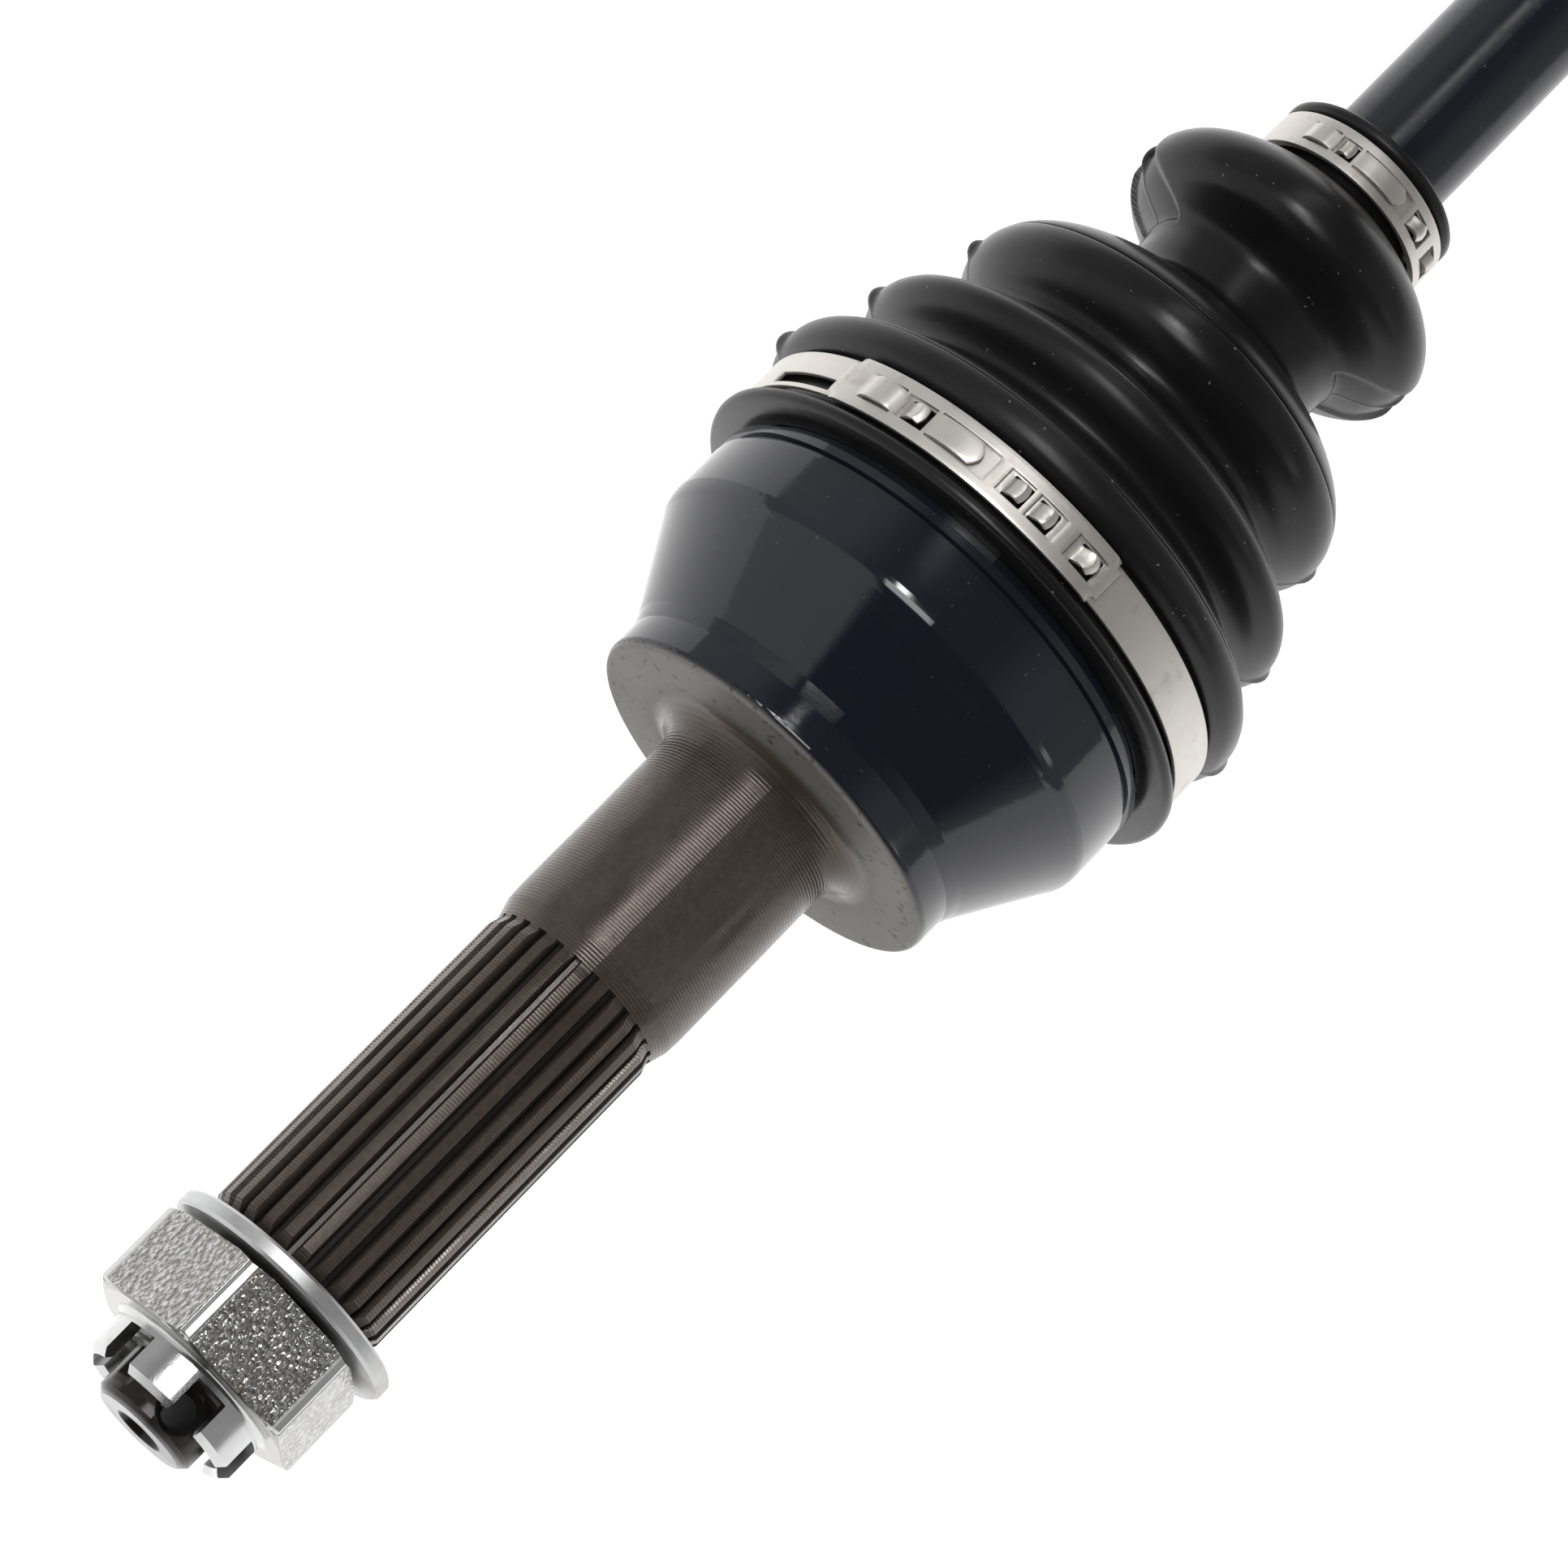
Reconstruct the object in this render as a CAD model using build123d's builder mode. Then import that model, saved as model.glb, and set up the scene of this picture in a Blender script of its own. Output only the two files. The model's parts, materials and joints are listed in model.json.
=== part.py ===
from build123d import *
import os
from math import cos, pi, radians, sin, sqrt

# CV axle: a splined wheel stub with a castle nut, a fixed ball joint, a solid bar and a plunging
# ball joint with a splined gearbox stub. Millimetres. X runs along the axle, outboard at -X, +Z up.
# The origin is on the axis, half way along the axle. Angles round the axle start at +Z and grow
# towards -Y.

os.makedirs("parts", exist_ok=True)

# ---------------------------------------------------------------- driving dimensions
overall_length = 600.0
stub_length = 114.0  # stub tip to hub seat face
housing_back_to_end = 60.0  # gearbox stub: housing's back face to the spline's end

# constant-velocity joints, both ends alike inside
ball_radius = 7.0
ball_pitch_radius = 22.0
ball_count = 6
track_clearance = 0.75  # lets the balls drift sideways in their tracks as the joint bends
race_sphere_radius = 20.4
race_half_width = 8.5
cage_inner_radius = 20.55
cage_outer_radius = 25.65
cage_half_width = 10.0
socket_radius = 25.8  # spherical in the cup, cylindrical in the inboard housing
outboard_centre_from_seat = 25.0

# cup (outboard bell)
cup_band_radius = 27.55
cup_radius = 36.2
cup_cone_start = 6.0
cup_cone_end = 21.1
cup_barrel_end = 29.7
cuff_seat_radius = 34.6
mouth_from_seat = 44.5
mouth_bore_radius = 29.5
bowl_depth_from_centre = 19.0

# wheel stub
thread_radius = 10.0
thread_pitch = 1.5
thread_depth = 0.85
thread_groove_count = 10
dog_point_radius = 7.6
spline_radius = 13.65
spline_root_radius = 12.35
spline_teeth = 27
journal_radius = 14.2
spline_start = -88.3
spline_stop = -35.8
cotter_hole_radius = 2.3
cotter_sink = 0.8  # the countersink at each mouth of the cotter hole
cotter_hole_from_seat = -109.9
centre_drill_radius = 3.58
centre_drill_pilot = 1.5
clocking = 15.2  # angle of the cotter hole and of the nut's slots

# castle nut and washer
nut_across_flats = 30.0
nut_back = -91.7
nut_hex_front = -104.6
nut_slot_floor = -106.0
nut_crown_front = -111.3
crown_radius = 12.0
slot_width = 4.9
washer_radius = 17.5
washer_bore_radius = 11.1
washer_thickness = 2.4
washer_sag = 0.9  # the loose washer hangs off centre

# bar
bar_radius = 9.2
bar_spline_radius = 9.6
bar_spline_root_radius = 8.75
bar_spline_teeth = 24
bar_end_from_centre = 12.2
snap_ring_thickness = 1.5

# boots and clamps, measured from the mouth of the cup towards the bar
boot_wall = 2.3
boot_gap = 0.3  # small cuff to bar and to clamp
big_clamp_start = -7.7
big_clamp_width = 7.3
big_band_radius = 38.1
small_clamp_start = 70.6
small_clamp_width = 5.9
small_band_radius = 13.45
band_thickness = 0.65

# inboard housing
housing_radius = 36.2
housing_mouth_from_centre = 32.0
housing_floor_from_centre = 33.0
housing_floor = 7.0
housing_round = 7.0
wire_ring_from_centre = 24.0
wire_radius = 0.95
seal_journal_radius = 15.5
inboard_spline_radius = 13.2
inboard_spline_root_radius = 12.0
inboard_spline_length = 36.0
circlip_from_end = 5.0
circlip_wire_radius = 0.9
circlip_groove = 1.0  # half the groove's width

# ---------------------------------------------------------------- derived places along X
seat_x = stub_length - overall_length / 2
outboard_centre_x = seat_x + outboard_centre_from_seat
outboard_mouth_x = seat_x + mouth_from_seat
inboard_end_x = overall_length / 2
housing_back_x = inboard_end_x - housing_back_to_end
inboard_centre_x = housing_back_x - housing_floor - housing_floor_from_centre
inboard_mouth_x = inboard_centre_x - housing_mouth_from_centre
track_radius = ball_radius + track_clearance


# ---------------------------------------------------------------- helpers
def section_plane(x, facing=1):
    """The half plane above the axis, starting at x and running towards +X (facing 1) or -X (-1)."""
    return Plane(origin=(x, 0, 0), x_dir=(facing, 0, 0), z_dir=(0, -facing, 0))


def disc_plane(x):
    """The plane across the axle at x."""
    return Plane.YZ.offset(x)


def radial_plane(x, angle, radius=0.0):
    """The plane at x that faces outwards at this angle round the axle."""
    out = Vector(0, -sin(radians(angle)), cos(radians(angle)))
    return Plane(origin=Vector(x, 0, 0) + out * radius, x_dir=(1, 0, 0), z_dir=out)


def wedge(inner, outer, inner_share, outer_share, teeth):
    """One tooth or one tooth gap, as a four-sided outline. The shares are of the tooth pitch."""
    low, high = pi / teeth * inner_share, pi / teeth * outer_share
    return [
        (inner * cos(low), -inner * sin(low)),
        (outer * cos(high), -outer * sin(high)),
        (outer * cos(high), outer * sin(high)),
        (inner * cos(low), inner * sin(low)),
    ]


def ball_track(centre_x, angle, start=-40.0, sweep=90.0):
    """A groove that follows a circle round the joint's centre, from start degrees behind it."""
    lean = radians(start)
    plane = Plane(origin=(centre_x, 0, 0), x_dir=(0, 1, 0), z_dir=(cos(lean), 0, -sin(lean)))
    with BuildPart() as track:
        with BuildSketch(plane):
            with Locations((0, ball_pitch_radius)):
                Circle(track_radius)
        revolve(axis=Axis((centre_x, 0, 0), (0, 1, 0)), revolution_arc=sweep)
    return track.part.rotate(Axis.X, angle)


def ball_angles():
    return [90 + 360 / ball_count * k for k in range(ball_count)]


def save(part, label):
    part.label = label
    export_step(part, f"parts/{label}.step")


# ---------------------------------------------------------------- outboard cup and wheel stub
cup_centre = outboard_centre_from_seat
bowl_floor = cup_centre - bowl_depth_from_centre
bowl_radius = sqrt(socket_radius**2 - bowl_depth_from_centre**2)
throat = 8.0  # where the round socket opens into the mouth's cone, from the joint's centre
throat_radius = sqrt(socket_radius**2 - throat**2)

with BuildPart() as outboard_cup_and_stub:
    with BuildSketch(section_plane(seat_x)):
        with BuildLine():
            Polyline(
                (-stub_length, 0),
                (-stub_length, dog_point_radius - 1.0),
                (-stub_length + 1.0, dog_point_radius),
                (-106.6, dog_point_radius),
                (-106.2, 8.7),
                (-104.9, thread_radius),
                (spline_start, thread_radius),
                (spline_start, spline_radius - 1.5),
                (spline_start + 2.4, spline_radius),
                (spline_stop - 1.4, spline_radius),
                (spline_stop, spline_radius - 0.45),
                (spline_stop + 3.2, journal_radius - 0.1),
                (spline_stop + 5.4, journal_radius),
                (-4.2, journal_radius),
            )
            RadiusArc((-4.2, journal_radius), (0, journal_radius + 4.2), -4.2)
            Line((0, journal_radius + 4.2), (0, cup_band_radius - 1.2))
            RadiusArc((0, cup_band_radius - 1.2), (1.2, cup_band_radius), 1.2)
            Polyline(
                (1.2, cup_band_radius),
                (cup_cone_start - 0.8, cup_band_radius),
                (cup_cone_start + 1.2, cup_band_radius + 0.75),
                (cup_cone_end - 1.4, cup_radius - 0.85),
            )
            RadiusArc((cup_cone_end - 1.4, cup_radius - 0.85), (cup_cone_end + 0.9, cup_radius), 4.0)
            Polyline(
                (cup_cone_end + 0.9, cup_radius),
                (cup_barrel_end, cup_radius),
                (cup_barrel_end + 0.3, cup_radius - 0.7),
                (cup_barrel_end + 1.0, cup_radius - 0.7),
                (cup_barrel_end + 1.3, cup_radius),
                (cup_barrel_end + 2.5, cup_radius),
                (cup_barrel_end + 2.9, cuff_seat_radius),
                (mouth_from_seat - 0.8, cuff_seat_radius),
                (mouth_from_seat, cuff_seat_radius - 0.8),
                (mouth_from_seat, mouth_bore_radius),
                (cup_centre + throat, throat_radius),
            )
            ThreePointArc(
                (cup_centre + throat, throat_radius),
                (cup_centre, socket_radius),
                (bowl_floor, bowl_radius),
            )
            Polyline((bowl_floor, bowl_radius), (bowl_floor, 0), (-stub_length, 0))
        make_face()
    revolve(axis=Axis.X)
    for angle in ball_angles():
        add(ball_track(outboard_centre_x, angle), mode=Mode.SUBTRACT)
    # the stub's spline
    with BuildSketch(disc_plane(seat_x + spline_start - 1)):
        with PolarLocations(0, spline_teeth):
            Polygon(*wedge(spline_root_radius, spline_radius + 0.6, 0.22, 0.66, spline_teeth), align=None)
    extrude(amount=spline_stop + 0.5 - spline_start + 1, mode=Mode.SUBTRACT)
    with BuildSketch(radial_plane(seat_x + cotter_hole_from_seat, clocking, -dog_point_radius - 1)):
        Circle(cotter_hole_radius)
    extrude(amount=2 * dog_point_radius + 2, mode=Mode.SUBTRACT)
    sink_top = dog_point_radius + 0.1
    for angle in (clocking, clocking + 180):
        with Locations(radial_plane(seat_x + cotter_hole_from_seat, angle, sink_top - cotter_sink)):
            Cone(
                cotter_hole_radius,
                cotter_hole_radius + cotter_sink,
                cotter_sink,
                align=(Align.CENTER, Align.CENTER, Align.MIN),
                mode=Mode.SUBTRACT,
            )
    # the centre-drill hole: a 60 degree cone, whose pilot runs into the cross hole
    cone_depth = (centre_drill_radius - centre_drill_pilot) * sqrt(3)
    pilot_end = stub_length + cotter_hole_from_seat
    with BuildSketch(section_plane(seat_x - stub_length)):
        with BuildLine():
            Polyline(
                (0, 0),
                (0, centre_drill_radius),
                (cone_depth, centre_drill_pilot),
                (pilot_end, centre_drill_pilot),
                (pilot_end, 0),
                (0, 0),
            )
        make_face()
    revolve(axis=Axis.X, mode=Mode.SUBTRACT)
    # the thread, as grooves without a helix
    half_groove = thread_pitch * 0.45
    with BuildSketch(section_plane(seat_x + nut_hex_front)):
        for groove in range(thread_groove_count):
            with Locations(((groove + 0.5) * thread_pitch, thread_radius)):
                Polygon((-half_groove, 0.1), (0, -thread_depth), (half_groove, 0.1), align=None)
    revolve(axis=Axis.X, mode=Mode.SUBTRACT)
save(outboard_cup_and_stub.part, "outboard_cup_and_stub")


# ---------------------------------------------------------------- castle nut and its washer
with BuildPart() as castle_nut:
    with BuildSketch(disc_plane(seat_x + nut_hex_front)):
        RegularPolygon(nut_across_flats / 2, 6, major_radius=False, rotation=120 + clocking)
    extrude(amount=nut_back - nut_hex_front)
    corner = nut_across_flats / 2 / cos(pi / 6)
    with BuildSketch(section_plane(seat_x)):
        with BuildLine():
            Polyline(
                (nut_hex_front, 0),
                (nut_hex_front, nut_across_flats / 2 + 0.3),
                (nut_hex_front + 0.7, corner + 0.1),
                (nut_back - 0.6, corner + 0.1),
                (nut_back, nut_across_flats / 2 + 0.9),
                (nut_back, 0),
                (nut_hex_front, 0),
            )
        make_face()
    revolve(axis=Axis.X, mode=Mode.INTERSECT)
    with BuildSketch(section_plane(seat_x)):
        with BuildLine():
            Polyline(
                (nut_crown_front, 0),
                (nut_crown_front, crown_radius - 0.9),
                (nut_crown_front + 0.9, crown_radius),
                (nut_hex_front - 0.9, crown_radius),
            )
            RadiusArc((nut_hex_front - 0.9, crown_radius), (nut_hex_front, crown_radius + 0.9), -0.9)
            Polyline(
                (nut_hex_front, crown_radius + 0.9),
                (nut_hex_front + 1, crown_radius + 0.9),
                (nut_hex_front + 1, 0),
                (nut_crown_front, 0),
            )
        make_face()
    revolve(axis=Axis.X)
    for slot in range(3):
        with BuildSketch(radial_plane(seat_x + nut_crown_front - 1, clocking + 60 * slot, -corner)):
            with Locations(((nut_slot_floor - nut_crown_front + 1) / 2, 0)):
                Rectangle(nut_slot_floor - nut_crown_front + 1, slot_width)
        extrude(amount=2 * corner, mode=Mode.SUBTRACT)
    with BuildSketch(section_plane(seat_x)):
        with BuildLine():
            Polyline(
                (nut_crown_front - 1, 0),
                (nut_crown_front - 1, thread_radius + 0.85),
                (nut_crown_front, thread_radius + 0.85),
                (nut_crown_front + 0.8, thread_radius + 0.05),
                (nut_back - 1, thread_radius + 0.05),
                (nut_back, thread_radius + 1.05),
                (nut_back + 1, thread_radius + 1.05),
                (nut_back + 1, 0),
                (nut_crown_front - 1, 0),
            )
        make_face()
    revolve(axis=Axis.X, mode=Mode.SUBTRACT)
save(castle_nut.part, "castle_nut")

washer_x = seat_x + spline_start - washer_thickness
with BuildPart() as hub_washer:
    with BuildSketch(disc_plane(washer_x)):
        with Locations((-washer_sag, 0)):
            Circle(washer_radius)
            Circle(washer_bore_radius, mode=Mode.SUBTRACT)
    extrude(amount=washer_thickness)
    outer_edges = hub_washer.edges().filter_by(GeomType.CIRCLE).group_by(SortBy.RADIUS)[-1]
    chamfer(outer_edges, 0.45)
save(hub_washer.part, "hub_washer")


# ---------------------------------------------------------------- parts that both joints share
def make_race(centre_x):
    """The inner race: a ball-shaped ring with curved tracks and a splined bore."""
    with BuildPart() as race:
        side_radius = sqrt(race_sphere_radius**2 - race_half_width**2)
        with BuildSketch(section_plane(centre_x)):
            with BuildLine():
                ThreePointArc(
                    (-race_half_width, side_radius),
                    (0, race_sphere_radius),
                    (race_half_width, side_radius),
                )
                Polyline(
                    (race_half_width, side_radius),
                    (race_half_width, 0),
                    (-race_half_width, 0),
                    (-race_half_width, side_radius),
                )
            make_face()
        revolve(axis=Axis.X)
        for angle in ball_angles():
            add(ball_track(centre_x, angle, -45), mode=Mode.SUBTRACT)
        gap_root = bar_spline_root_radius - 0.5
        gap_top = bar_spline_radius + 0.03
        with BuildSketch(disc_plane(centre_x - race_half_width)):
            Circle(bar_spline_root_radius + 0.03)
            with PolarLocations(0, bar_spline_teeth, start_angle=180 / bar_spline_teeth):
                Polygon(*wedge(gap_root, gap_top, 0.82, 0.54, bar_spline_teeth), align=None)
        extrude(amount=2 * race_half_width, mode=Mode.SUBTRACT)
    return race.part


def make_cage(centre_x):
    """The ball cage: a band between two spheres with a rounded window for each ball."""
    with BuildPart() as cage:
        with BuildSketch(section_plane(centre_x)):
            outer_side = sqrt(cage_outer_radius**2 - cage_half_width**2)
            inner_side = sqrt(cage_inner_radius**2 - cage_half_width**2)
            with BuildLine():
                ThreePointArc(
                    (-cage_half_width, outer_side), (0, cage_outer_radius), (cage_half_width, outer_side)
                )
                Line((cage_half_width, outer_side), (cage_half_width, inner_side))
                ThreePointArc(
                    (cage_half_width, inner_side), (0, cage_inner_radius), (-cage_half_width, inner_side)
                )
                Line((-cage_half_width, inner_side), (-cage_half_width, outer_side))
            make_face()
        revolve(axis=Axis.X)
        for angle in ball_angles():
            with BuildSketch(radial_plane(centre_x, angle, ball_pitch_radius / 2)):
                RectangleRounded(2 * ball_radius + 0.1, 2 * ball_radius + 2.2, 3.5)
            extrude(amount=ball_pitch_radius, mode=Mode.SUBTRACT)
    return cage.part


def make_ball(centre_x, angle):
    with BuildPart(radial_plane(centre_x, angle, ball_pitch_radius)) as ball:
        Sphere(ball_radius)
    return ball.part


def make_snap_ring(centre_x, facing):
    """The open ring that keeps the race on the bar, on the side away from the bar's middle."""
    with BuildPart() as ring:
        with BuildSketch(disc_plane(centre_x - facing * (race_half_width + snap_ring_thickness / 2 + 0.1))):
            Circle(bar_spline_radius + 1.6)
            Circle(bar_spline_root_radius - 0.6, mode=Mode.SUBTRACT)
            with Locations((0, bar_spline_radius)):
                Rectangle(5, 6, mode=Mode.SUBTRACT)
        extrude(amount=snap_ring_thickness / 2, both=True)
    return ring.part


for end, centre_x, facing in (("outboard", outboard_centre_x, 1), ("inboard", inboard_centre_x, -1)):
    save(make_race(centre_x), f"{end}_inner_race")
    save(make_cage(centre_x), f"{end}_cage")
    save(make_snap_ring(centre_x, facing), f"{end}_race_snap_ring")
    for number, angle in enumerate(ball_angles(), start=1):
        save(make_ball(centre_x, angle), f"{end}_ball_{number}")


# ---------------------------------------------------------------- bar
bar_outboard_x = outboard_centre_x - bar_end_from_centre
bar_inboard_x = inboard_centre_x + bar_end_from_centre
shoulder_start = race_half_width + 0.05
shoulder_radius = bar_spline_radius + 0.7
spline_cut_length = bar_end_from_centre + race_half_width

with BuildPart() as axle_bar:
    for end_x, facing in ((bar_outboard_x, 1), (bar_inboard_x, -1)):
        half_length = abs(bar_inboard_x - bar_outboard_x) / 2
        shoulder = bar_end_from_centre + shoulder_start
        groove = bar_end_from_centre - race_half_width - 0.1
        with BuildSketch(section_plane(end_x, facing)):
            with BuildLine():
                Polyline(
                    (0, 0),
                    (0, bar_spline_radius - 0.9),
                    (0.9, bar_spline_radius),
                    (groove - snap_ring_thickness - 0.05, bar_spline_radius),
                    (groove - snap_ring_thickness - 0.05, bar_spline_root_radius - 0.6),
                    (groove + 0.05, bar_spline_root_radius - 0.6),
                    (groove + 0.05, bar_spline_radius),
                    (shoulder, bar_spline_radius),
                    (shoulder, shoulder_radius),
                    (shoulder + 3.5, shoulder_radius),
                    (shoulder + 16, bar_radius),
                    (half_length, bar_radius),
                    (half_length, 0),
                    (0, 0),
                )
            make_face()
        revolve(axis=Axis.X)
        with BuildSketch(disc_plane(end_x)):
            with PolarLocations(0, bar_spline_teeth):
                Polygon(*wedge(bar_spline_root_radius, bar_spline_radius + 0.5, 0.32, 0.6, bar_spline_teeth),
                        align=None)
        extrude(amount=facing * spline_cut_length, mode=Mode.SUBTRACT)
save(axle_bar.part, "axle_bar")


# ---------------------------------------------------------------- inboard housing and gearbox stub
with BuildPart() as inboard_housing:
    with BuildSketch(section_plane(inboard_mouth_x)):
        floor_at = housing_mouth_from_centre + housing_floor_from_centre
        back = floor_at + housing_floor
        tip = back + housing_back_to_end
        ring_at = housing_mouth_from_centre - wire_ring_from_centre
        circlip_at = tip - circlip_from_end
        with BuildLine():
            Polyline(
                (0, mouth_bore_radius),
                (0, cuff_seat_radius - 0.8),
                (0.8, cuff_seat_radius),
                (mouth_from_seat - cup_barrel_end - 2.9, cuff_seat_radius),
                (mouth_from_seat - cup_barrel_end - 2.5, housing_radius),
                (back - housing_round, housing_radius),
            )
            RadiusArc(
                (back - housing_round, housing_radius),
                (back, housing_radius - housing_round),
                housing_round,
            )
            Polyline(
                (back, housing_radius - housing_round),
                (back, seal_journal_radius + 1.5),
                (back + 1.5, seal_journal_radius),
                (tip - inboard_spline_length - 1.5, seal_journal_radius),
                (tip - inboard_spline_length, inboard_spline_radius),
                (circlip_at - circlip_groove, inboard_spline_radius),
                (circlip_at - circlip_groove, inboard_spline_root_radius - 0.5),
                (circlip_at + circlip_groove, inboard_spline_root_radius - 0.5),
                (circlip_at + circlip_groove, inboard_spline_radius),
                (tip - 1.5, inboard_spline_radius),
                (tip, inboard_spline_radius - 1.5),
                (tip, 0),
                (floor_at, 0),
                (floor_at, socket_radius - 1.0),
                (floor_at - 1.0, socket_radius),
                (ring_at + wire_radius, socket_radius),
            )
            ThreePointArc(
                (ring_at + wire_radius, socket_radius),
                (ring_at, socket_radius + wire_radius),
                (ring_at - wire_radius, socket_radius),
            )
            Polyline(
                (ring_at - wire_radius, socket_radius),
                (4.0, socket_radius),
                (0, mouth_bore_radius),
            )
        make_face()
    revolve(axis=Axis.X)
    # straight tracks, so that the balls can slide along the housing
    for angle in ball_angles():
        across = -ball_pitch_radius * sin(radians(angle))
        up = ball_pitch_radius * cos(radians(angle))
        with BuildSketch(disc_plane(inboard_mouth_x)):
            with Locations((across, up)):
                Circle(track_radius)
        extrude(amount=floor_at - 1.5, mode=Mode.SUBTRACT)
    with BuildSketch(disc_plane(inboard_end_x - inboard_spline_length + 3)):
        with PolarLocations(0, spline_teeth):
            Polygon(
                *wedge(inboard_spline_root_radius, inboard_spline_radius + 0.6, 0.22, 0.66, spline_teeth),
                align=None,
            )
    extrude(amount=inboard_spline_length, mode=Mode.SUBTRACT)
save(inboard_housing.part, "inboard_housing")

with BuildPart() as inboard_wire_ring:
    ring_x = inboard_centre_x - wire_ring_from_centre
    with BuildSketch(section_plane(ring_x)):
        with Locations((0, socket_radius - 0.02)):
            Circle(wire_radius - 0.03)
    revolve(axis=Axis.X, revolution_arc=340)
save(inboard_wire_ring.part, "inboard_wire_ring")

with BuildPart() as stub_circlip:
    with BuildSketch(section_plane(inboard_end_x - circlip_from_end)):
        with Locations((0, inboard_spline_root_radius + circlip_wire_radius / 2)):
            Circle(circlip_wire_radius)
    revolve(axis=Axis.X, revolution_arc=325)
save(stub_circlip.part, "stub_circlip")


# ---------------------------------------------------------------- boots and their clamps
def make_boot(mouth_x, facing):
    """The bellows from the joint's mouth to the bar. Lengths run from the mouth towards the bar."""
    small_bore = bar_radius + boot_gap
    small_groove = small_band_radius - 1.0 - boot_gap
    with BuildPart() as boot:
        with BuildSketch(section_plane(mouth_x, facing)) as wall:
            with BuildLine():
                Polyline(
                    (-10.6, cuff_seat_radius),
                    (-10.6, 39.4),
                    (-10.0, 40.0),
                    (-8.9, 40.0),
                    (-8.1, big_band_radius - 0.75),
                    (-0.1, big_band_radius - 0.75),
                    (0.7, 38.6),
                    (2.4, 40.1),
                    (4.6, 40.1),
                    (8.0, 38.2),
                    (11.5, 31.0),
                    (15.0, 35.7),
                    (18.5, 35.7),
                    (24.3, 26.4),
                    (30.0, 30.7),
                    (34.0, 30.5),
                    (45.0, 15.8),
                    (52.0, 15.8),
                    (56.5, 23.6),
                    (60.5, 24.0),
                    (68.0, 18.5),
                    (69.8, small_groove),
                    (77.0, small_groove),
                    (77.3, 14.3),
                    (79.1, 14.3),
                    (79.1, small_bore),
                    (66.5, small_bore),
                    (63.5, 17.4),
                    (60.0, 21.3),
                    (57.5, 21.2),
                    (53.5, 13.6),
                    (44.0, 13.6),
                    (32.8, 28.1),
                    (30.8, 28.2),
                    (24.3, 23.6),
                    (17.3, 33.3),
                    (15.7, 33.3),
                    (11.5, 27.9),
                    (6.2, 36.6),
                    (4.0, 37.7),
                    (2.8, 37.6),
                    (1.6, cuff_seat_radius),
                    (-10.6, cuff_seat_radius),
                )
            make_face()
        revolve(axis=Axis.X)
    return boot.part


def make_clamp(start_x, facing, width, band_radius, plate_width, spans, windows, hooks):
    """A band with a second, shorter layer over it. spans, windows and hooks are angle ranges."""
    with BuildPart() as clamp:
        with BuildSketch(section_plane(start_x, facing)):
            with Locations((width / 2, band_radius - band_thickness / 2)):
                Rectangle(width, band_thickness)
        revolve(axis=Axis.X)
        for low, high in spans:
            with BuildSketch(radial_section(start_x, low, facing)):
                with Locations((width / 2, band_radius + band_thickness / 2 - 0.01)):
                    Rectangle(plate_width, band_thickness)
            revolve(axis=Axis.X, revolution_arc=high - low)
        for low, high in windows:
            with BuildSketch(radial_section(start_x, low, facing)):
                with Locations((width / 2, band_radius + 1.02)):
                    Rectangle(plate_width * 0.62, 2)
            revolve(axis=Axis.X, revolution_arc=high - low, mode=Mode.SUBTRACT)
        for low, high in hooks:
            with BuildSketch(radial_section(start_x, low, facing)):
                with Locations((width / 2, band_radius + 0.5)):
                    Rectangle(plate_width * 0.34, 1.04)
            revolve(axis=Axis.X, revolution_arc=high - low)
    return clamp.part


def radial_section(x, angle, facing):
    """The half plane through the axis at this angle, in which a profile is turned up the angle."""
    out = Vector(0, -sin(radians(angle)), cos(radians(angle)))
    along = Vector(facing, 0, 0)
    return Plane(origin=(x, 0, 0), x_dir=along, z_dir=along.cross(out))


big_clamp_plate = dict(
    width=big_clamp_width - 0.8,
    band_radius=big_band_radius,
    plate_width=big_clamp_width,
    spans=[(-50.7, 18.2)],
    windows=[(-34.5, -27.5), (-15.2, -12.3), (-9.5, 4.8), (7.5, 15.7)],
    hooks=[(-32, -29.5), (-7.5, -5), (0.5, 3.0), (10, 13)],
)
small_clamp_plate = dict(
    width=small_clamp_width - 0.6,
    band_radius=small_band_radius - 0.35,
    plate_width=small_clamp_width,
    spans=[(-86, 90)],
    windows=[(-26.8, -14.2), (26.8, 50), (56, 78)],
    hooks=[(33, 42), (61, 68)],
)
for end, mouth_x, facing in (("outboard", outboard_mouth_x, 1), ("inboard", inboard_mouth_x, -1)):
    save(make_boot(mouth_x, facing), f"{end}_boot")
    big_x = mouth_x + facing * (big_clamp_start + 0.4)
    save(make_clamp(big_x, facing, **big_clamp_plate), f"{end}_boot_big_clamp")
    small_x = mouth_x + facing * (small_clamp_start + 0.3)
    save(make_clamp(small_x, facing, **small_clamp_plate), f"{end}_boot_small_clamp")
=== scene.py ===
import json
from math import atan2, cos, pi, radians, sin, sqrt

import bmesh
import bpy
from mathutils import Matrix, Vector


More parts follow.
